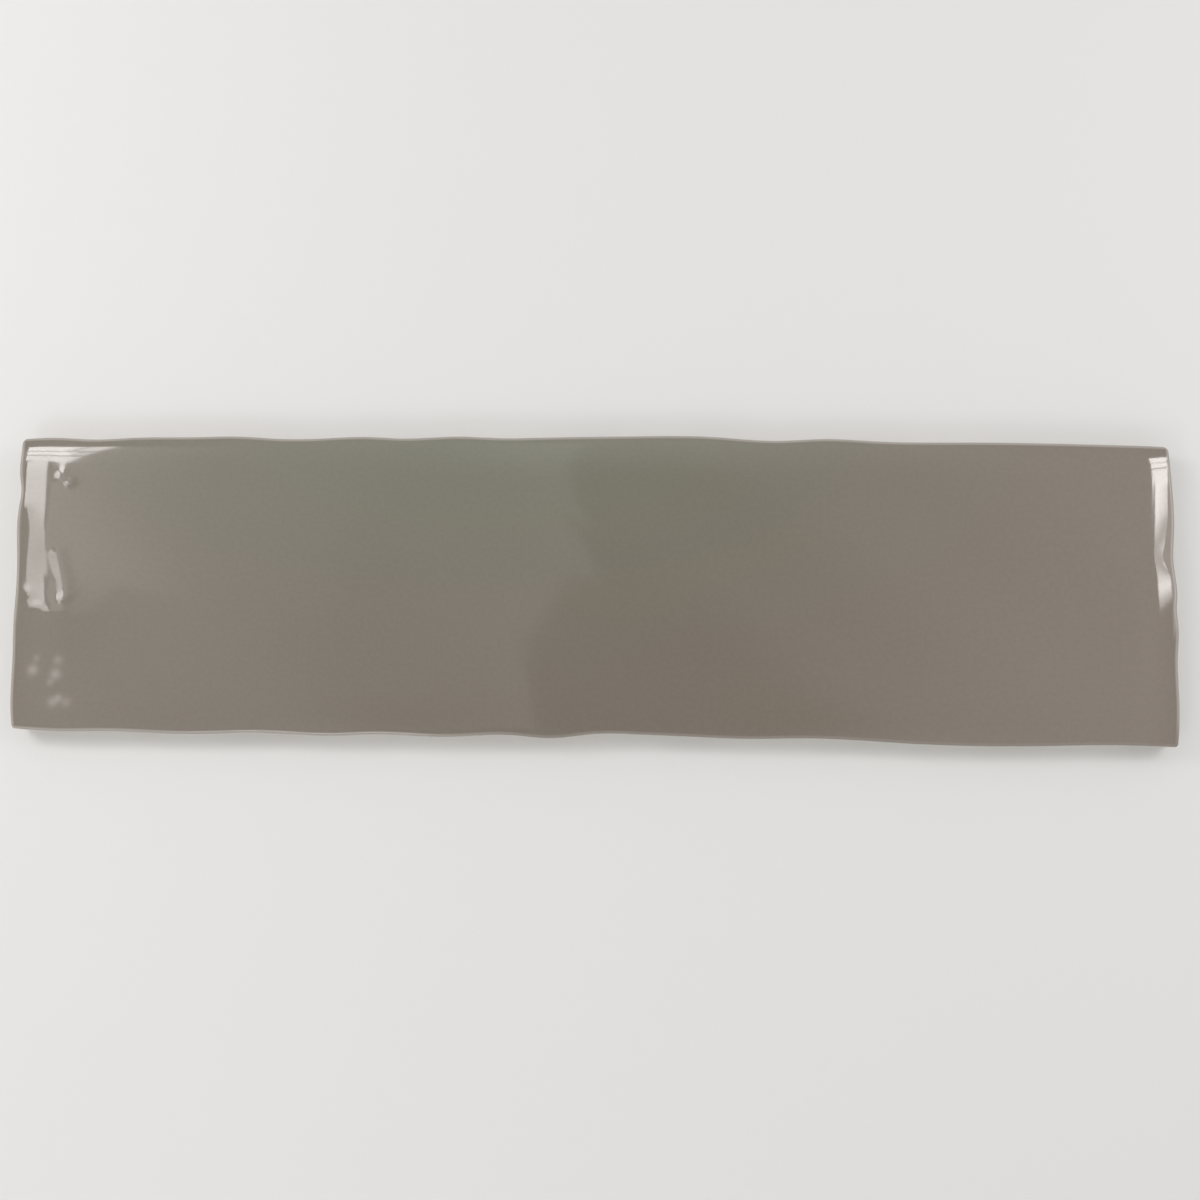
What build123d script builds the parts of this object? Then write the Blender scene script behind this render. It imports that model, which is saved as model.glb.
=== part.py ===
"""Long glazed subway tile with uneven edges, a cushioned face and a keyed back.

One pressed and fired piece, lying on its back. The origin is the centre of the
back, +X runs along the tile, +Y across it and +Z out of the glazed face.
"""

import math
import os

from build123d import *

# The tile as a whole, in millimetres
LENGTH = 300.0
WIDTH = 77.5
THICKNESS = 9.0

# Edges: crests and troughs, worn corners, the slope of the sides
EDGE_WAVE = 1.0
FAR_CORNER_RADIUS = 1.4
NEAR_CORNER_RADIUS = 0.9
RIM_RADIUS = 0.8
SIDE_DRAFT = 0.4
FOOT_CHAMFER = 0.5

# Face: the band that rolls down to the edges, and the slow swells between
CUSHION_WIDTH = 12.0
CUSHION_DROP = 0.9
SWELL_HEIGHT = 0.12
SWELL_LENGTH = 110.0
SWELL_BREADTH = 70.0
RIPPLE_HEIGHT = 0.06
RIPPLE_LENGTH = 63.0
RIPPLE_BREADTH = 48.0
FACE_STEP = 4.0

# Back: shallow square pockets that the adhesive keys into
KEY_PITCH = 12.0
KEY_RIB = 3.0
KEY_DEPTH = 0.8
KEY_BORDER = 6.0
KEY_TAPER = 30.0

# Crests and troughs of each edge, as (share of the way along, share of
# EDGE_WAVE outwards). Long edges run towards +X and end edges towards +Y.
FAR_EDGE = [
    (0.0, -0.7), (0.04, -0.5), (0.06, -0.8), (0.1, -0.25), (0.15, 0.0), (0.195, 0.25),
    (0.225, -0.25), (0.265, -0.1), (0.305, 0.4), (0.335, 0.0), (0.385, 0.6), (0.42, 0.25),
    (0.46, 0.5), (0.53, 1.0), (0.61, 0.9), (0.66, 0.0), (0.705, 0.6), (0.74, 0.1),
    (0.83, -0.15), (1.0, -0.95),
]
NEAR_EDGE = [
    (0.0, -0.5), (0.05, 0.15), (0.085, -0.05), (0.16, 0.45), (0.215, -0.1), (0.285, 0.4),
    (0.32, -0.1), (0.38, 0.35), (0.435, -0.35), (0.47, 0.3), (0.505, -0.85), (0.545, -0.9),
    (0.59, -0.5), (0.645, -0.15), (0.68, -0.45), (0.775, 0.55), (0.89, 0.7), (0.935, 0.3),
    (1.0, 0.6),
]
LEFT_END = [
    (0.0, -0.7), (0.08, -0.3), (0.25, -0.25), (0.37, 0.0), (0.47, -0.2), (0.61, 0.1),
    (0.745, 0.15), (0.81, -0.4), (0.86, 0.15), (0.93, 0.2), (1.0, 0.1),
]
RIGHT_END = [
    (0.0, -0.1), (0.125, 0.25), (0.3, 0.1), (0.385, 0.4), (0.445, 0.0), (0.485, 0.2),
    (0.6, -0.5), (0.71, -0.1), (0.87, -0.5), (1.0, -1.1),
]


def roll_down(distance):
    """Fall of the cushioned face at a distance in from the mean line of an edge."""
    return CUSHION_DROP * max(0.0, 1 - distance / CUSHION_WIDTH) ** 3


def face_height(x, y):
    """Height of the glazed face: swells and ripples, rolling down to the ends and the sides."""
    fall = roll_down(LENGTH / 2 - abs(x)) + roll_down(WIDTH / 2 - abs(y))
    turn = 2 * math.pi
    swell = SWELL_HEIGHT * math.sin(turn * x / SWELL_LENGTH) * math.cos(turn * y / SWELL_BREADTH)
    ripple = RIPPLE_HEIGHT * math.sin(turn * (x / RIPPLE_LENGTH + y / RIPPLE_BREADTH))
    return THICKNESS + swell + ripple - fall


def stations(size):
    """Evenly spaced places across a size, a little past the crests at both sides."""
    reach = size + 2 * (EDGE_WAVE + FACE_STEP)
    count = math.ceil(reach / FACE_STEP)
    return [reach * (i / count - 0.5) for i in range(count + 1)]


def tile_outline(inset):
    """The plan of the tile, drawn in from its uneven edges by an inset."""
    half_length = LENGTH / 2 - inset
    half_width = WIDTH / 2 - inset
    near = [(half_length * (2 * s - 1), -half_width - EDGE_WAVE * w) for s, w in NEAR_EDGE]
    far = [(half_length * (2 * s - 1), half_width + EDGE_WAVE * w) for s, w in FAR_EDGE]
    left = [(-half_length - EDGE_WAVE * w, half_width * (2 * s - 1)) for s, w in LEFT_END]
    right = [(half_length + EDGE_WAVE * w, half_width * (2 * s - 1)) for s, w in RIGHT_END]
    near_left = (left[0][0], near[0][1])
    near_right = (right[0][0], near[-1][1])
    far_left = (left[-1][0], far[0][1])
    far_right = (right[-1][0], far[-1][1])
    with BuildSketch(mode=Mode.PRIVATE) as plan:
        with BuildLine():
            Spline(near_left, *near[1:-1], near_right)
            Spline(near_right, *right[1:-1], far_right)
            Spline(far_right, *far[-2:0:-1], far_left)
            Spline(far_left, *left[-2:0:-1], near_left)
        make_face()
        fillet(plan.vertices().sort_by(Axis.Y)[-2:], FAR_CORNER_RADIUS)
        fillet(plan.vertices().sort_by(Axis.Y)[:2], NEAR_CORNER_RADIUS)
    return plan.sketch


glazed_face = Face.make_surface_from_array_of_points(
    [[(x, y, face_height(x, y)) for y in stations(WIDTH)] for x in stations(LENGTH)]
)

with BuildPart() as tile:
    # The pressed body, a little narrower at its back than at its rim
    with BuildSketch(Plane.XY):
        add(tile_outline(SIDE_DRAFT))
    with BuildSketch(Plane.XY.offset(THICKNESS + CUSHION_DROP)):
        add(tile_outline(0.0))
    loft(ruled=True)

    # The cushioned, gently swelling face and its rounded rim
    split(bisect_by=glazed_face, keep=Keep.BOTTOM)
    rim = tile.faces().sort_by(Axis.Z)[-1].edges()
    fillet(rim, RIM_RADIUS)

    # The foot, and the pockets pressed into the back
    back = tile.faces().sort_by(Axis.Z)[0]
    chamfer(back.edges(), FOOT_CHAMFER)
    columns = int((LENGTH - 2 * KEY_BORDER) // KEY_PITCH)
    rows = int((WIDTH - 2 * KEY_BORDER) // KEY_PITCH)
    with BuildSketch(Plane.XY):
        with GridLocations(KEY_PITCH, KEY_PITCH, columns, rows):
            Rectangle(KEY_PITCH - KEY_RIB, KEY_PITCH - KEY_RIB)
    extrude(amount=KEY_DEPTH, taper=KEY_TAPER, mode=Mode.SUBTRACT)

tile.part.label = "tile"
os.makedirs("parts", exist_ok=True)
export_step(tile.part, "parts/tile.step")
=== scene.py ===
import math

import bpy
import numpy as np
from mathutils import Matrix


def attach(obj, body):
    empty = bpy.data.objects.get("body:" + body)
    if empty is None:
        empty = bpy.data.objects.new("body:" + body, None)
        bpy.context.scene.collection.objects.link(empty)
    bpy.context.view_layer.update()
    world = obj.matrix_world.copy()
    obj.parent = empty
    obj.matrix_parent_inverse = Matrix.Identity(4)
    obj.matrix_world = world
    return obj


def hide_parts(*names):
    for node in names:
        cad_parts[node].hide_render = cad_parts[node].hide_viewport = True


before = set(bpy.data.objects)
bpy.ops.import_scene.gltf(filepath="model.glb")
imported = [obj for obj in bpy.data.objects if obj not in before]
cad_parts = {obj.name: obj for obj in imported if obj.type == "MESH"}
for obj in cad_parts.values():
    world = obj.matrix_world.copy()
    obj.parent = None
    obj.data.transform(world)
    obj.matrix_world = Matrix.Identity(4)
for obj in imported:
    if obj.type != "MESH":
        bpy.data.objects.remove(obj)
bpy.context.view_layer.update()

# The tile. One slab of cream clay, pressed, glazed on its face in a glossy grey taupe and fired.
# The face is cushioned and its edges are uneven, as on hand-made tiles. The glaze runs over the
# rim and stops part way down the sides, and the back is bare clay, pressed with shallow pockets.
MM = 0.001
LENGTH = 300.0
WIDTH = 77.5
THICKNESS = 9.0
EDGE_WAVE = 1.0
FAR_CORNER_RADIUS = 1.4
NEAR_CORNER_RADIUS = 0.9
RIM_RADIUS = 0.8
SIDE_DRAFT = 0.4
FOOT_CHAMFER = 0.5
CUSHION_WIDTH = 12.0
CUSHION_DROP = 0.9
SWELL_HEIGHT = 0.12
SWELL_LENGTH = 110.0
SWELL_BREADTH = 70.0
RIPPLE_HEIGHT = 0.06
RIPPLE_LENGTH = 63.0
RIPPLE_BREADTH = 48.0
KEY_PITCH = 12.0
KEY_RIB = 3.0
KEY_DEPTH = 0.8
KEY_SLOPE = math.tan(math.radians(30.0))
KEY_COLUMNS = 24
KEY_ROWS = 5
GLAZE_THICKNESS = 0.15
GLAZE_LINE = 3.6

# Crests and troughs of each edge, as (share of the way along, share of EDGE_WAVE outwards). Long edges
# run towards +X and end edges towards +Y.
FAR_EDGE = [
    (0.0, -0.7), (0.04, -0.5), (0.06, -0.8), (0.1, -0.25), (0.15, 0.0), (0.195, 0.25),
    (0.225, -0.25), (0.265, -0.1), (0.305, 0.4), (0.335, 0.0), (0.385, 0.6), (0.42, 0.25),
    (0.46, 0.5), (0.53, 1.0), (0.61, 0.9), (0.66, 0.0), (0.705, 0.6), (0.74, 0.1),
    (0.83, -0.15), (1.0, -0.95),
]
NEAR_EDGE = [
    (0.0, -0.5), (0.05, 0.15), (0.085, -0.05), (0.16, 0.45), (0.215, -0.1), (0.285, 0.4),
    (0.32, -0.1), (0.38, 0.35), (0.435, -0.35), (0.47, 0.3), (0.505, -0.85), (0.545, -0.9),
    (0.59, -0.5), (0.645, -0.15), (0.68, -0.45), (0.775, 0.55), (0.89, 0.7), (0.935, 0.3),
    (1.0, 0.6),
]
LEFT_END = [
    (0.0, -0.7), (0.08, -0.3), (0.25, -0.25), (0.37, 0.0), (0.47, -0.2), (0.61, 0.1),
    (0.745, 0.15), (0.81, -0.4), (0.86, 0.15), (0.93, 0.2), (1.0, 0.1),
]
RIGHT_END = [
    (0.0, -0.1), (0.125, 0.25), (0.3, 0.1), (0.385, 0.4), (0.445, 0.0), (0.485, 0.2),
    (0.6, -0.5), (0.71, -0.1), (0.87, -0.5), (1.0, -1.1),
]

# Where the right end rolls down deeper or less deep: place across, half width, share of CUSHION_DROP.
RIGHT_ROLLS = np.array([(44.0, 8.0, -0.25), (26.0, 9.0, 0.06), (1.0, 7.0, -0.08)])

# Beads and dents in the glaze near both ends: place, half width, half length and height.
GLAZE_MARKS = np.array([
    (-148.5, 20.4, 2.4, 3.5, 0.07), (-143.0, 12.5, 2.5, 6.5, 0.06), (-138.2, 28.0, 1.7, 1.7, 0.11),
    (-136.0, 26.2, 1.5, 1.5, 0.15), (-138.0, -9.0, 8.5, 9.0, 0.36), (-138.8, -3.0, 1.5, 1.5, -0.05),
    (-136.4, -4.6, 1.4, 1.4, 0.09), (-146.2, -3.0, 1.2, 1.8, 0.05), (-144.0, -6.6, 2.0, 1.1, 0.045),
    (-139.8, -7.6, 1.6, 1.1, 0.045), (-136.6, -7.4, 1.4, 1.1, 0.06), (150.0, 9.4, 3.2, 3.0, -0.22),
    (150.0, 14.0, 3.0, 3.5, -0.08),
])

# A run in the glaze near the left end: both its ends, radius and height.
GLAZE_RUNS = np.array([(-138.4, 7.5, -135.4, -3.0, 1.9, 0.085)])

# Painted glints near the left end: pale specks painted into the glaze's colour as highlights, given as
# place, radius and how pale.
PAINTED_GLINTS = np.array([
    (-143.7, -23.1, 1.4, 0.74), (-142.8, -20.0, 0.9, 0.40), (-137.1, -20.5, 1.2, 0.50),
    (-137.6, -24.1, 1.4, 0.74), (-138.9, -26.2, 0.9, 0.45), (-136.6, -30.3, 1.0, 0.62),
    (-138.1, -31.3, 1.3, 0.62), (-134.5, -31.3, 1.3, 0.45),
])


def through(points, share):
    """A natural cubic spline through points, read at shares of the way along."""
    at, out = np.array(points).T
    gap = np.diff(at)
    slope = np.diff(out) / gap
    inner = np.arange(1, len(at) - 1)
    stiff = np.eye(len(at))
    stiff[inner, inner - 1] = gap[:-1]
    stiff[inner, inner] = 2 * (gap[:-1] + gap[1:])
    stiff[inner, inner + 1] = gap[1:]
    load = np.zeros(len(at))
    load[inner] = 6 * np.diff(slope)
    bend = np.linalg.solve(stiff, load)
    share = np.clip(share, 0.0, 1.0)
    span = np.clip(np.searchsorted(at, share) - 1, 0, len(gap) - 1)
    after = (share - at[span]) / gap[span]
    before = 1 - after
    curve = (before**3 - before) * bend[span] + (after**3 - after) * bend[span + 1]
    return before * out[span] + after * out[span + 1] + curve * gap[span] ** 2 / 6


def edge_line(points, share):
    """How far an uneven edge stands out: its wave times a spline through its crests and troughs."""
    return EDGE_WAVE * through(points, share)


END_BORDER = (LENGTH - KEY_COLUMNS * KEY_PITCH) / 2
SIDE_BORDER = (WIDTH - KEY_ROWS * KEY_PITCH) / 2
LEAST_CORNER_RADIUS = 0.3


def plan(columns, rows, inset):
    """Places on the tile's plan for straight grid lines, counted from its middle.

    In the border, lines take on the crests and troughs of the edge less the inset, fading
    to nothing at the border's inner line. Square corners are bent to arcs by the rule that
    turns a square into a disc: each way shrinks by the root of one less half the other squared.
    """
    columns, rows, inset = np.broadcast_arrays(columns, rows, inset)
    to_end = LENGTH / 2 - np.abs(columns)
    to_side = WIDTH / 2 - np.abs(rows)
    near_end = np.clip(1 - to_end / END_BORDER, 0.0, 1.0)
    near_side = np.clip(1 - to_side / SIDE_BORDER, 0.0, 1.0)
    along = columns / LENGTH + 0.5
    across = rows / WIDTH + 0.5
    end = np.where(columns < 0, edge_line(LEFT_END, across), edge_line(RIGHT_END, across)) - inset
    side = np.where(rows < 0, edge_line(NEAR_EDGE, along), edge_line(FAR_EDGE, along)) - inset
    radius = np.where(rows < 0, NEAR_CORNER_RADIUS, FAR_CORNER_RADIUS) - inset
    radius = np.maximum(radius, LEAST_CORNER_RADIUS)
    u = np.clip(1 - (to_end + end * (1 - near_end)) / radius, 0.0, 1.0)
    v = np.clip(1 - (to_side + side * (1 - near_side)) / radius, 0.0, 1.0)
    x = np.abs(columns) + end * near_end - radius * u * (1 - np.sqrt(1 - v**2 / 2))
    y = np.abs(rows) + side * near_side - radius * v * (1 - np.sqrt(1 - u**2 / 2))
    return np.sign(columns) * x, np.sign(rows) * y


def roll_down(distance):
    """Fall of the cushioned face: the cube of the way through the cushion's band."""
    return CUSHION_DROP * np.clip(1 - distance / CUSHION_WIDTH, 0.0, None) ** 3


def roll_depth(rolls, y):
    """How deep an end rolls down: whole, with a bell added at each place."""
    place, breadth, share = rolls.T
    return 1 + np.sum(share * np.exp(-(((y[..., None] - place) / breadth) ** 2)), axis=-1)


def edge_distances(x, y):
    """Distance of each place from the nearer end and from the nearer long edge."""
    along = x / LENGTH + 0.5
    across = y / WIDTH + 0.5
    left = LENGTH / 2 + x + edge_line(LEFT_END, across)
    right = LENGTH / 2 - x + edge_line(RIGHT_END, across)
    near = WIDTH / 2 + y + edge_line(NEAR_EDGE, along)
    far = WIDTH / 2 - y + edge_line(FAR_EDGE, along)
    return np.minimum(left, right), np.minimum(near, far)


def face_height(x, y):
    """Height of the glaze: a flat face with a crossed swell and a slanting ripple, less the falls
    to the ends and the sides, plus each mark as a bell and each run as a ridge."""
    end_depth = np.where(x < 0, 1.0, roll_depth(RIGHT_ROLLS, y))
    end_fall = roll_down(LENGTH / 2 - np.abs(x)) * end_depth
    side_fall = roll_down(WIDTH / 2 - np.abs(y))
    turn = 2 * math.pi
    swell = SWELL_HEIGHT * np.sin(turn * x / SWELL_LENGTH) * np.cos(turn * y / SWELL_BREADTH)
    ripple = RIPPLE_HEIGHT * np.sin(turn * (x / RIPPLE_LENGTH + y / RIPPLE_BREADTH))
    mark_x, mark_y, half_width, half_length, height = GLAZE_MARKS.T
    away = ((x[..., None] - mark_x) / half_width) ** 2 + ((y[..., None] - mark_y) / half_length) ** 2
    marks = np.sum(height * np.exp(-away), axis=-1)
    start_x, start_y, end_x, end_y, radius, height = GLAZE_RUNS.T
    run_x, run_y = end_x - start_x, end_y - start_y
    way = ((x[..., None] - start_x) * run_x + (y[..., None] - start_y) * run_y) / (run_x**2 + run_y**2)
    way = np.clip(way, 0.0, 1.0)
    away = (x[..., None] - start_x - way * run_x) ** 2 + (y[..., None] - start_y - way * run_y) ** 2
    runs = np.sum(height * np.exp(-away / radius**2), axis=-1)
    return THICKNESS + swell + ripple - end_fall - side_fall + marks + runs


def key_depth(columns, rows):
    """Depth of the back's pockets: a square pit in every pitch, with sloping walls and a flat floor."""
    from_middle_x = np.abs((columns + LENGTH) % KEY_PITCH - KEY_PITCH / 2)
    from_middle_y = np.abs((rows + WIDTH / 2 - SIDE_BORDER) % KEY_PITCH - KEY_PITCH / 2)
    into_wall = (KEY_PITCH - KEY_RIB) / 2 - np.maximum(from_middle_x, from_middle_y)
    inside = (np.abs(columns) < LENGTH / 2 - END_BORDER) & (np.abs(rows) < WIDTH / 2 - SIDE_BORDER)
    return np.where(inside, np.clip(into_wall / KEY_SLOPE, 0.0, KEY_DEPTH), 0.0)


# Grid lines in each border, how they crowd to the edge, and the lines on each pocket's floor, which
# are closest where the glaze has beads and runs
BORDER_LINES = 16
BORDER_CROWDING = 1.6
FLOOR_LINES_ALONG = [21, 9] + [3] * (KEY_COLUMNS - 2)
FLOOR_LINES_ACROSS = [11, 17, 17, 9, 17]


def grid_lines(size, border, floor_lines):
    """Lines across one way of the tile: crowded to the edges by a power, then for every pocket three
    on the rib, evenly spaced ones over the floor, and two on the rib that follows."""
    wall = KEY_RIB / 2 + KEY_DEPTH * KEY_SLOPE
    crowded = border * np.linspace(0.0, 1.0, BORDER_LINES) ** BORDER_CROWDING
    rib_before = [0.0, KEY_RIB / 4, KEY_RIB / 2]
    rib_after = [KEY_PITCH - KEY_RIB / 2, KEY_PITCH - KEY_RIB / 4]
    lines = [crowded[:-1]]
    for number, count in enumerate(floor_lines):
        floor_places = np.linspace(wall, KEY_PITCH - wall, count + 2)
        lines.append(border + number * KEY_PITCH + np.concatenate([rib_before, floor_places, rib_after]))
    lines.append(size - crowded[::-1])
    return np.concatenate(lines) - size / 2


column_lines = grid_lines(LENGTH, END_BORDER, FLOOR_LINES_ALONG)
row_lines = grid_lines(WIDTH, SIDE_BORDER, FLOOR_LINES_ACROSS)
columns, rows = np.meshgrid(column_lines, row_lines, indexing="ij")

# The glazed face, up to where the rim's rounding starts at the cushion's own slope
rim_slope = math.atan(3 * CUSHION_DROP / CUSHION_WIDTH)
face_inset = RIM_RADIUS * (1 - math.sin(rim_slope))
face_x, face_y = plan(columns, rows, face_inset)
face_z = face_height(face_x, face_y)


def round_the_edge(grid):
    """The border of a grid as one closed loop: near edge, right end, far edge, left end."""
    return np.concatenate([grid[:-1, 0], grid[-1, :-1], grid[:0:-1, -1], grid[0, :0:-1]])


# The loop of grid points round the edge, and the way round it as an angle
loop_columns = round_the_edge(columns)
loop_rows = round_the_edge(rows)
loop_top = round_the_edge(face_z)
loop_x, loop_y = plan(loop_columns, loop_rows, 0.0)
steps = np.hypot(np.diff(loop_x, append=loop_x[0]), np.diff(loop_y, append=loop_y[0]))
around = 2 * math.pi * np.cumsum(steps) / steps.sum()

# Waves in the line where the glaze stops (height, number round the tile, start) and runs below it
# (number round the tile, start, sharpness)
LINE_WAVES = np.array([(0.45, 7.0, 0.6), (0.30, 19.0, 2.0), (0.12, 61.0, 0.0)])
LINE_RUNS = np.array([(13.0, 1.0, 12.0), (29.0, 0.0, 20.0)])
LINE_RUN_DEPTH = 0.9


def glaze_line(around):
    """Height at which the glaze stops on the side: a level plus sine waves, less narrow runs, each the
    upper half of a sine raised to a power."""
    height, number, start = LINE_WAVES.T
    waves = np.sum(height * np.sin(number * around[:, None] + start), axis=-1)
    number, start, sharpness = LINE_RUNS.T
    crests = np.clip(np.sin(number * around[:, None] + start), 0.0, 1.0)
    return GLAZE_LINE + waves - LINE_RUN_DEPTH * np.sum(crests**sharpness, axis=-1)


def side_inset(height):
    """How far the side leans in: the draft at the back, in proportion to nothing at the rim."""
    return SIDE_DRAFT * (1 - height / (THICKNESS + CUSHION_DROP))


# Rows down the edge: the rounded rim, the glazed side, the bead where the glaze stops, bare clay.
# Shares are of the way down each stretch, and the bead's depths are shares of the glaze's thickness.
# Glaze covers the bead's upper row and no row below it.
RIM_ROWS = 8
GLAZED_SHARES = np.array([0.35, 0.7, 1.0])[:, None]
BEAD_HEIGHT = 2 * GLAZE_THICKNESS
BEAD_SHARES = np.array([0.65, 1.0])[:, None]
BEAD_DEPTHS = np.array([0.3, 1.0])[:, None]
BEAD_COVER = np.array([1.0, 0.0])[:, None]
CLAY_SHARES = np.array([0.5, 1.0])[:, None]
arc = np.linspace(rim_slope, math.pi / 2, RIM_ROWS + 1)[1:, None]
arc_middle = loop_top - RIM_RADIUS * math.cos(rim_slope)
arc_z = arc_middle + RIM_RADIUS * np.cos(arc)
arc_inset = np.broadcast_to(RIM_RADIUS * (1 - np.sin(arc)), arc_z.shape)
glaze_stop = glaze_line(around)
glazed_z = arc_middle + (glaze_stop + BEAD_HEIGHT - arc_middle) * GLAZED_SHARES
bead_z = glaze_stop + BEAD_HEIGHT * (1 - BEAD_SHARES)
bead_inset = np.broadcast_to(GLAZE_THICKNESS * BEAD_DEPTHS, bead_z.shape)
clay_z = glaze_stop + (FOOT_CHAMFER - glaze_stop) * CLAY_SHARES
clay_inset = np.full_like(clay_z, GLAZE_THICKNESS)
edge_z = np.concatenate([arc_z, glazed_z, bead_z, clay_z])
edge_inset = np.concatenate([arc_inset, np.zeros_like(glazed_z), bead_inset, clay_inset])
edge_x, edge_y = plan(loop_columns, loop_rows, edge_inset + side_inset(edge_z))

# The back, at the foot's chamfer and inside it
back_x, back_y = plan(columns, rows, SIDE_DRAFT + FOOT_CHAMFER)
back_z = key_depth(columns, rows)

places = np.concatenate([
    np.stack([face_x, face_y, face_z], -1).reshape(-1, 3),
    np.stack([edge_x, edge_y, edge_z], -1).reshape(-1, 3),
    np.stack([back_x, back_y, back_z], -1).reshape(-1, 3),
])


def grid_faces(index):
    """Four-sided faces of a grid of point numbers: each point, then its neighbours one way round."""
    corners = [index[:-1, :-1], index[1:, :-1], index[1:, 1:], index[:-1, 1:]]
    return np.stack(corners, -1).reshape(-1, 4)


grid_index = np.arange(columns.size).reshape(columns.shape)
back_index = grid_index + columns.size + edge_x.size
edge_index = np.concatenate([
    round_the_edge(grid_index)[None],
    np.arange(edge_x.size).reshape(edge_x.shape) + columns.size,
    round_the_edge(back_index)[None],
])
edge_index = np.concatenate([edge_index, edge_index[:, :1]], 1)
faces = np.concatenate([grid_faces(grid_index), grid_faces(edge_index), grid_faces(back_index)[:, ::-1]])

SHARP_ANGLE = math.radians(40.0)
mesh = bpy.data.meshes.new("glazed_tile")
mesh.from_pydata(places * MM, [], faces)
mesh.shade_smooth()
mesh.set_sharp_from_angle(angle=SHARP_ANGLE)

# The pale band on the rim, partly thin glaze and partly a painted reflection, how it fades inwards, how
# pale the side is from the rim down to the bead, and the stretch of the near edge where most of the
# rim's painted reflection is left off
END_BAND = 1.15
SIDE_BAND = 0.95
BAND_FADE = 0.35
SIDE_PALENESS = np.array([0.6, 0.35, 0.5])[:, None]
DARK_STRETCH_START = -45.0
DARK_STRETCH_FADE = 30.0
NEAR_BAND = 32.0
NEAR_BAND_FADE = 5.0
DARK_SHARE = 0.7


def rim_share(x, y):
    """How far the rim has paled, by thin glaze and a painted reflection: whole, less a share that fades
    in along and towards the near edge, where the painted reflection is mostly left off.
    """
    along = np.clip((x - DARK_STRETCH_START) / DARK_STRETCH_FADE, 0.0, 1.0)
    near = np.clip((-y - NEAR_BAND) / NEAR_BAND_FADE, 0.0, 1.0)
    return 1 - DARK_SHARE * along * near


# How much glaze covers each point, and how pale it is: over the rim from thin glaze and a painted
# reflection, and in the specks, which are painted glints
from_end, from_side = edge_distances(face_x, face_y)
glint_x, glint_y, radius, share = PAINTED_GLINTS.T
away = (face_x[..., None] - glint_x) ** 2 + (face_y[..., None] - glint_y) ** 2
glints = np.sum(share * np.exp(-away / radius**2), axis=-1)
band = np.maximum((END_BAND - from_end) / BAND_FADE, (SIDE_BAND - from_side) / BAND_FADE)
face_thin_and_sheen = np.maximum(np.clip(band, 0.0, 1.0) * rim_share(face_x, face_y), glints)
arc_thin_and_sheen = rim_share(*plan(loop_columns, loop_rows, arc_inset))
thin_side = np.ones_like(glazed_z) * SIDE_PALENESS
bead_cover = np.ones_like(bead_z) * BEAD_COVER
glaze_cover = np.concatenate([
    np.ones(columns.size + arc_z.size + glazed_z.size), bead_cover.ravel(),
    np.zeros(clay_z.size + columns.size),
])
glaze_thin_and_sheen = np.concatenate([
    face_thin_and_sheen.ravel(), arc_thin_and_sheen.ravel(), thin_side.ravel(),
    np.ones(bead_z.size + clay_z.size), np.zeros(columns.size),
])

# The glaze is greener in one broad patch at the far edge, given by its place and half sizes, and
# warmer towards the right end
GREEN_PATCH = (-25.0, 36.0, 100.0, 36.0)
patch_x, patch_y, patch_length, patch_width = GREEN_PATCH
point_x, point_y = places[:, 0], places[:, 1]
from_patch = ((point_x - patch_x) / patch_length) ** 2 + ((point_y - patch_y) / patch_width) ** 2
glaze_green = np.exp(-from_patch)
glaze_warm = np.clip(point_x / (LENGTH / 2), 0.0, 1.0)
glaze_values = {
    "glaze_cover": glaze_cover, "glaze_thin_and_sheen": glaze_thin_and_sheen,
    "glaze_green": glaze_green, "glaze_warm": glaze_warm,
}
for name, values in glaze_values.items():
    mesh.attributes.new(name, "FLOAT", "POINT").data.foreach_set("value", values)

tile = bpy.data.objects.new("glazed_tile", mesh)
bpy.context.collection.objects.link(tile)

GLAZE_TAUPE = (0.2125, 0.1855, 0.1525, 1.0)
GLAZE_GREEN = (0.1970, 0.1955, 0.150, 1.0)
GLAZE_WARM = (0.2210, 0.1845, 0.150, 1.0)
# The pale rim colour: thin glaze over the clay, with a painted reflection on the rim and painted glints
# near the left end
THIN_GLAZE_AND_SHEEN = (0.39, 0.355, 0.32, 1.0)
CLAY_CREAM = (0.62, 0.54, 0.44, 1.0)
CLAY_PALE = (0.72, 0.66, 0.57, 1.0)
GLAZE_IOR = 1.6
GLAZE_ROUGHNESS = (0.045, 0.065)
CLAY_ROUGHNESS = 0.85

# Clouds of noise, as scale by the metre, detail and roughness, and the range that most of them fill
GLOSS_CLOUDS = (90.0, 2.0, 0.5)
MOTTLE_CLOUDS = (900.0, 3.0, 0.5)
CLAY_CLOUDS = (60.0, 5.0, 0.6)
CLAY_GRAIN = (1400.0, 4.0, 0.6)
CLOUD_RANGE = (0.3, 0.7)
MOTTLE_SHARES = (0.975, 1.025)
GRAIN_STRENGTH = 0.5
GRAIN_HEIGHT = 0.0003


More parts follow.
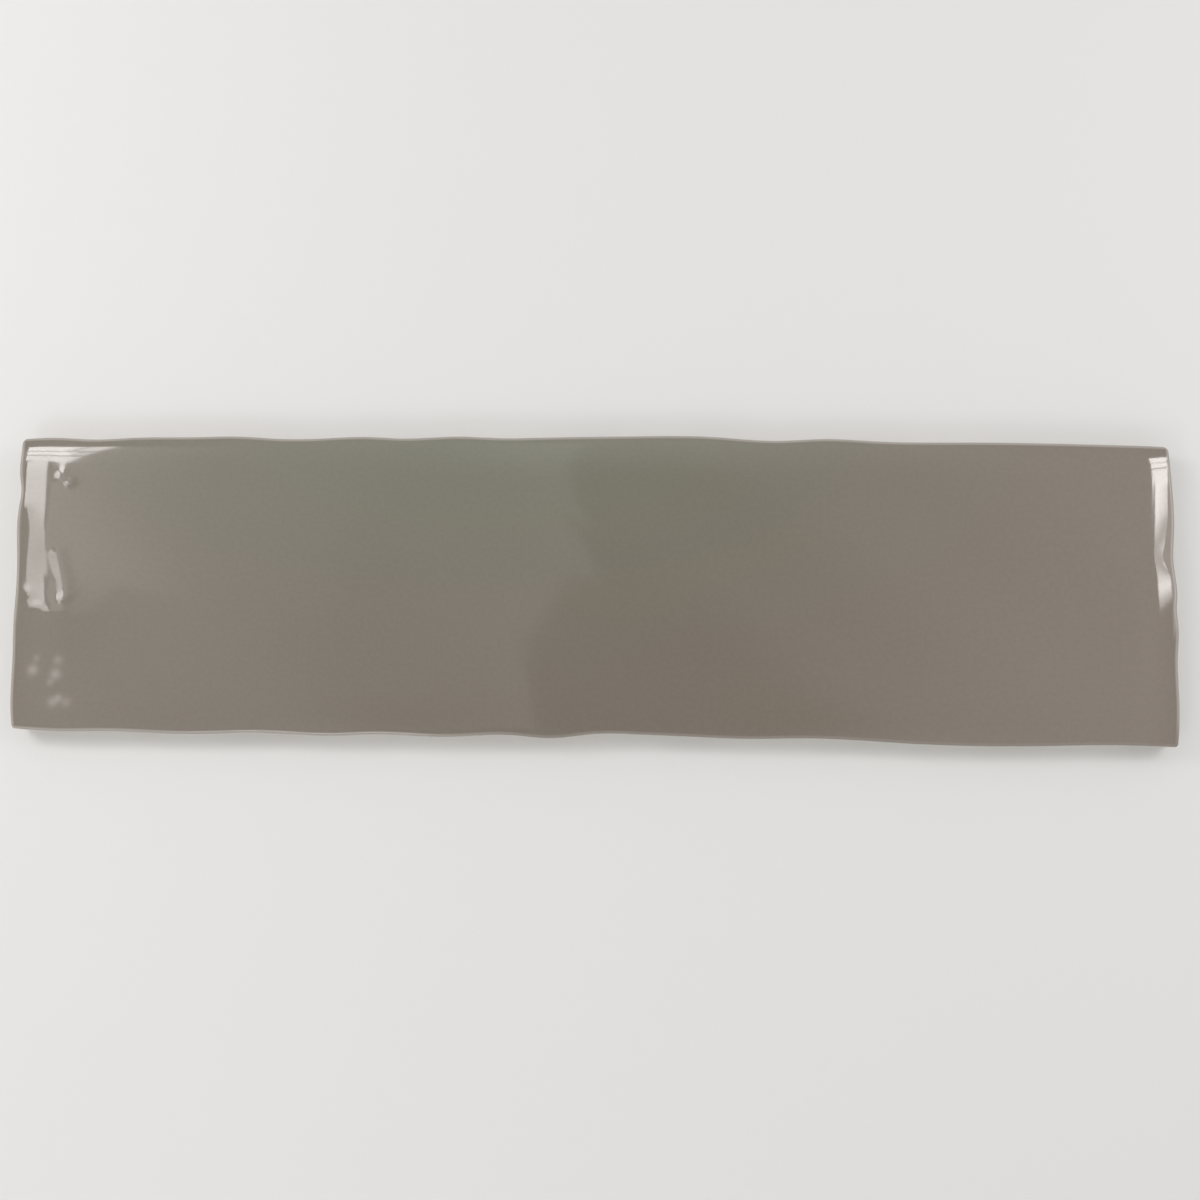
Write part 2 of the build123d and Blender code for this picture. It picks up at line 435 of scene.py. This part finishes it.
def tile_finish():
    """Gloss glaze over cream clay: the clay shows where the cover is off, and pales the thin rim, which
    also carries a painted reflection, as the specks carry painted glints.
    """
    material = bpy.data.materials.new("glazed_tile")
    material.use_nodes = True
    nodes, links = material.node_tree.nodes, material.node_tree.links
    shader = nodes["Principled BSDF"]
    shader.inputs["IOR"].default_value = GLAZE_IOR
    position = nodes.new("ShaderNodeTexCoord").outputs["Object"]

    def clouds(scale, detail, roughness):
        """Noise fixed to the tile."""
        noise = nodes.new("ShaderNodeTexNoise")
        noise.inputs["Scale"].default_value = scale
        noise.inputs["Detail"].default_value = detail
        noise.inputs["Roughness"].default_value = roughness
        links.new(position, noise.inputs["Vector"])
        return noise.outputs["Fac"]

    def spread(cloud, low, high):
        """Noise eased from its own range to another."""
        ease = nodes.new("ShaderNodeMapRange")
        ease.interpolation_type = "SMOOTHSTEP"
        ease.inputs["From Min"].default_value = CLOUD_RANGE[0]
        ease.inputs["From Max"].default_value = CLOUD_RANGE[1]
        ease.inputs["To Min"].default_value = low
        ease.inputs["To Max"].default_value = high
        links.new(cloud, ease.inputs["Value"])
        return ease.outputs["Result"]

    def blend(factor, first, second):
        """A mix from the first colour to the second."""
        mix = nodes.new("ShaderNodeMix")
        mix.data_type = "RGBA"
        links.new(factor, mix.inputs["Factor"])
        for socket, colour in ((mix.inputs["A"], first), (mix.inputs["B"], second)):
            if isinstance(colour, tuple):
                socket.default_value = colour
            else:
                links.new(colour, socket)
        return mix.outputs["Result"]

    def attribute(name):
        """A value kept on the points of the mesh."""
        reader = nodes.new("ShaderNodeAttribute")
        reader.attribute_name = name
        return reader.outputs["Fac"]

    # The glaze by its patches, faintly mottled and paled by the clay under it where it is thin, and by a
    # painted reflection on the rim and painted glints near the left end
    cover = attribute("glaze_cover")
    thin_and_sheen = attribute("glaze_thin_and_sheen")
    glaze = blend(attribute("glaze_warm"), GLAZE_TAUPE, GLAZE_WARM)
    glaze = blend(attribute("glaze_green"), glaze, GLAZE_GREEN)
    mottle = nodes.new("ShaderNodeMix")
    mottle.data_type = "RGBA"
    mottle.blend_type = "MULTIPLY"
    mottle.inputs["Factor"].default_value = 1.0
    links.new(glaze, mottle.inputs["A"])
    links.new(spread(clouds(*MOTTLE_CLOUDS), *MOTTLE_SHARES), mottle.inputs["B"])
    glaze = blend(thin_and_sheen, mottle.outputs["Result"], THIN_GLAZE_AND_SHEEN)
    clay = blend(spread(clouds(*CLAY_CLOUDS), 0.0, 1.0), CLAY_CREAM, CLAY_PALE)
    links.new(blend(cover, clay, glaze), shader.inputs["Base Color"])

    # Gloss on the glaze, and dull clay with a fine grain
    rough = nodes.new("ShaderNodeMix")
    rough.inputs["A"].default_value = CLAY_ROUGHNESS
    links.new(cover, rough.inputs["Factor"])
    links.new(spread(clouds(*GLOSS_CLOUDS), *GLAZE_ROUGHNESS), rough.inputs["B"])
    links.new(rough.outputs["Result"], shader.inputs["Roughness"])
    grain = nodes.new("ShaderNodeMix")
    grain.inputs["B"].default_value = 0.0
    links.new(cover, grain.inputs["Factor"])
    links.new(clouds(*CLAY_GRAIN), grain.inputs["A"])
    bump = nodes.new("ShaderNodeBump")
    bump.inputs["Strength"].default_value = GRAIN_STRENGTH
    bump.inputs["Distance"].default_value = GRAIN_HEIGHT
    links.new(grain.outputs["Result"], bump.inputs["Height"])
    links.new(bump.outputs["Normal"], shader.inputs["Normal"])
    return material


mesh.materials.append(tile_finish())
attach(tile, "root")
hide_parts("tile")

# The floor. A plain pale sheet, rolled out flat, that the tile lies on. It sits a hair below the back
# of the tile, so that the two never share a plane.
FLOOR_SIZE = 3.0
FLOOR_HEIGHT = -0.0001
FLOOR_COLOUR = (0.80, 0.80, 0.79, 1.0)
FLOOR_ROUGHNESS = 0.9
floor_half = FLOOR_SIZE / 2
floor_x = np.array([-1.0, 1.0, 1.0, -1.0]) * floor_half
floor_y = np.array([-1.0, -1.0, 1.0, 1.0]) * floor_half
floor_mesh = bpy.data.meshes.new("floor")
floor_mesh.from_pydata(np.stack([floor_x, floor_y, np.full(4, FLOOR_HEIGHT)], -1), [], [(0, 1, 2, 3)])
floor = bpy.data.objects.new("floor", floor_mesh)
bpy.context.collection.objects.link(floor)
floor_material = bpy.data.materials.new("floor")
floor_material.use_nodes = True
floor_shader = floor_material.node_tree.nodes["Principled BSDF"]
floor_shader.inputs["Base Color"].default_value = FLOOR_COLOUR
floor_shader.inputs["Roughness"].default_value = FLOOR_ROUGHNESS
floor_mesh.materials.append(floor_material)

# The light. Soft boxes with barred panes hang beyond each end of the tile, with dim reflectors beside
# them, one box in front and dim panels on the ceiling. The room is pale and darker straight up.
# Each stand is a place, a height and a turn about the upright.
LEFT_STAND = (-0.400, 0.150, 0.459, math.radians(-4.0))
LEFT_BAR_STAND = (-0.400, 0.150, 0.459, math.radians(-7.0))
LEFT_REFLECTOR_STAND = (-0.400, 0.150, 0.480, math.radians(-4.0))
RIGHT_STAND = (0.420, 0.120, 0.459, math.radians(8.0))
FRONT_STAND = (-0.200, -0.425, 0.459, 0.0)
CEILING = (0.0, 0.0, 1.2, 0.0)
LAMP_COLOUR = (1.0, 0.955, 0.945)


def soft_box(stand, name, radiance, left, right, near, far, fade):
    """A rectangular lamp facing straight down, its sides counted from its stand. Its watts are radiance
    times pi times area, and may fade softly along X or Y, from one share to another."""
    lamp = bpy.data.lights.new(name, "AREA")
    lamp.shape = "RECTANGLE"
    lamp.color = LAMP_COLOUR
    lamp.size = right - left
    lamp.size_y = far - near
    lamp.energy = radiance * math.pi * lamp.size * lamp.size_y
    if fade:
        way, first_share, last_share = fade
        lamp.use_nodes = True
        nodes, links = lamp.node_tree.nodes, lamp.node_tree.links
        across = nodes.new("ShaderNodeSeparateXYZ")
        links.new(nodes.new("ShaderNodeNewGeometry").outputs["Parametric"], across.inputs["Vector"])
        share = nodes.new("ShaderNodeMapRange")
        share.interpolation_type = "SMOOTHSTEP"
        share.inputs["To Min"].default_value = first_share
        share.inputs["To Max"].default_value = last_share
        links.new(across.outputs[way], share.inputs["Value"])
        links.new(share.outputs["Result"], nodes["Emission"].inputs["Strength"])
    holder = bpy.data.objects.new(name, lamp)
    bpy.context.collection.objects.link(holder)
    stand_x, stand_y, height, turn = stand
    out, up = (left + right) / 2, (near + far) / 2
    holder.location = (
        stand_x + out * math.cos(turn) - up * math.sin(turn),
        stand_y + out * math.sin(turn) + up * math.cos(turn),
        height,
    )
    holder.rotation_euler = (0.0, 0.0, turn)


# Each box: its stand, name and radiance, its left, right, near and far sides, and how it fades
SOFT_BOXES = [
    (LEFT_STAND, "left_box_near", 4.3, -0.070, 0.066, -0.098, -0.078, ("Y", 0.85, 0.95)),
    (LEFT_STAND, "left_box_middle", 6.4, -0.130, 0.050, -0.078, -0.058, ("Y", 0.66, 1.0)),
    (LEFT_STAND, "left_box_far", 8.0, -0.130, 0.050, -0.058, 0.017, ("Y", 0.80, 1.0)),
    (LEFT_REFLECTOR_STAND, "left_reflector", 0.95, 0.060, 0.180, -0.098, 0.115, ("X", 1.0, 0.0)),
    (LEFT_BAR_STAND, "left_pane_near", 9.0, -0.160, 0.096, 0.015, 0.0455, None),
    (LEFT_BAR_STAND, "left_pane_middle", 10.5, -0.160, 0.088, 0.0505, 0.0745, None),
    (LEFT_BAR_STAND, "left_end_pane_middle", 6.4, 0.091, 0.097, 0.0505, 0.0745, None),
    (LEFT_BAR_STAND, "left_pane_far", 10.5, -0.160, 0.079, 0.0795, 0.115, None),
    (LEFT_BAR_STAND, "left_end_pane_far", 6.4, 0.082, 0.097, 0.0795, 0.115, None),
    (RIGHT_STAND, "right_box_near", 11.0, -0.064, 0.055, -0.076, -0.050, ("Y", 0.25, 1.0)),
    (RIGHT_STAND, "right_box_middle", 9.0, -0.062, 0.055, -0.050, -0.020, ("Y", 1.0, 0.32)),
    (RIGHT_STAND, "right_box_far", 13.0, -0.060, 0.055, -0.020, 0.002, ("Y", 0.26, 1.0)),
    (RIGHT_STAND, "right_pane_near", 11.0, -0.080, 0.055, 0.002, 0.0385, None),
    (RIGHT_STAND, "right_pane_middle", 11.5, -0.080, 0.055, 0.0425, 0.066, None),
    (RIGHT_STAND, "right_pane_far", 11.5, -0.080, 0.055, 0.069, 0.100, None),
    (LEFT_STAND, "left_outer_reflector", 0.7, -0.320, -0.165, -0.110, 0.110, None),
    (RIGHT_STAND, "right_outer_reflector", 1.6, 0.060, 0.220, -0.110, 0.110, None),
    (FRONT_STAND, "front_box", 5.0, -0.070, 0.070, -0.105, 0.105, None),
    (CEILING, "ceiling_near", 0.40, -0.300, -0.105, -0.400, 0.122, ("X", 0.0, 1.0)),
    (CEILING, "ceiling_middle", 0.43, -0.300, -0.070, 0.122, 0.200, ("X", 0.0, 1.0)),
    (CEILING, "ceiling_far", 0.43, -0.300, -0.046, 0.200, 0.800, ("X", 0.0, 1.0)),
]
for box in SOFT_BOXES:
    soft_box(*box)

# The room's brightness by the angle from its darkest way, in degrees. Ways are stretched along X and
# squeezed along Y first, so that the dark patch is narrow along X and broad along Y.
DARKEST_WAY = (-0.042, -0.074, 0.996)
ROOM_STRETCH = (1.6, 0.78, 1.0)
ROOM_BY_ANGLE = [
    (0.0, 0.03), (8.0, 0.08), (11.5, 0.17), (14.7, 0.36), (19.5, 0.60), (24.8, 0.76),
    (28.0, 0.81), (31.0, 0.92), (38.0, 0.87), (60.0, 0.57), (90.0, 0.53),
]
world = bpy.data.worlds.new("room")
world.use_nodes = True
room_nodes, room_links = world.node_tree.nodes, world.node_tree.links
looking = room_nodes.new("ShaderNodeTexCoord")
broad = room_nodes.new("ShaderNodeVectorMath")
broad.operation = "MULTIPLY"
broad.inputs[1].default_value = ROOM_STRETCH
room_links.new(looking.outputs["Generated"], broad.inputs[0])
way_out = room_nodes.new("ShaderNodeVectorMath")
way_out.operation = "NORMALIZE"
room_links.new(broad.outputs["Vector"], way_out.inputs[0])
upward = room_nodes.new("ShaderNodeVectorMath")
upward.operation = "DOT_PRODUCT"
upward.inputs[1].default_value = DARKEST_WAY
room_links.new(way_out.outputs["Vector"], upward.inputs[0])
angle = room_nodes.new("ShaderNodeMath")
angle.operation = "ARCCOSINE"
room_links.new(upward.outputs["Value"], angle.inputs[0])
turn_share = room_nodes.new("ShaderNodeMath")
turn_share.operation = "DIVIDE"
turn_share.inputs[1].default_value = math.pi / 2
room_links.new(angle.outputs["Value"], turn_share.inputs[0])
room_ramp = room_nodes.new("ShaderNodeValToRGB")
room_links.new(turn_share.outputs["Value"], room_ramp.inputs["Fac"])
room_steps = room_ramp.color_ramp.elements
while len(room_steps) < len(ROOM_BY_ANGLE):
    room_steps.new(1.0)
for step, (degrees, level) in zip(room_steps, ROOM_BY_ANGLE):
    step.position = math.radians(degrees) / (math.pi / 2)
    step.color = (level, level, level, 1.0)
room_links.new(room_ramp.outputs["Color"], room_nodes["Background"].inputs["Color"])
bpy.context.scene.world = world

# The camera. It is held over the tile, a little right of its middle and towards the near edge, and
# looks nearly straight down. Its turn is in degrees, its lens and sensor in millimetres.
CAMERA_PLACE = (0.0178, -0.0454, 0.4177)
CAMERA_TURN = (5.883, 1.982, 0.767)
CAMERA_LENS = 48.0
CAMERA_SENSOR = 36.0
CAMERA_NEAREST = 0.01
lens = bpy.data.cameras.new("camera")
lens.lens = CAMERA_LENS
lens.sensor_width = CAMERA_SENSOR
lens.clip_start = CAMERA_NEAREST
camera = bpy.data.objects.new("camera", lens)
bpy.context.collection.objects.link(camera)
camera.location = CAMERA_PLACE
camera.rotation_euler = tuple(math.radians(turn) for turn in CAMERA_TURN)
bpy.context.scene.camera = camera
bpy.context.scene.view_settings.view_transform = "Standard"
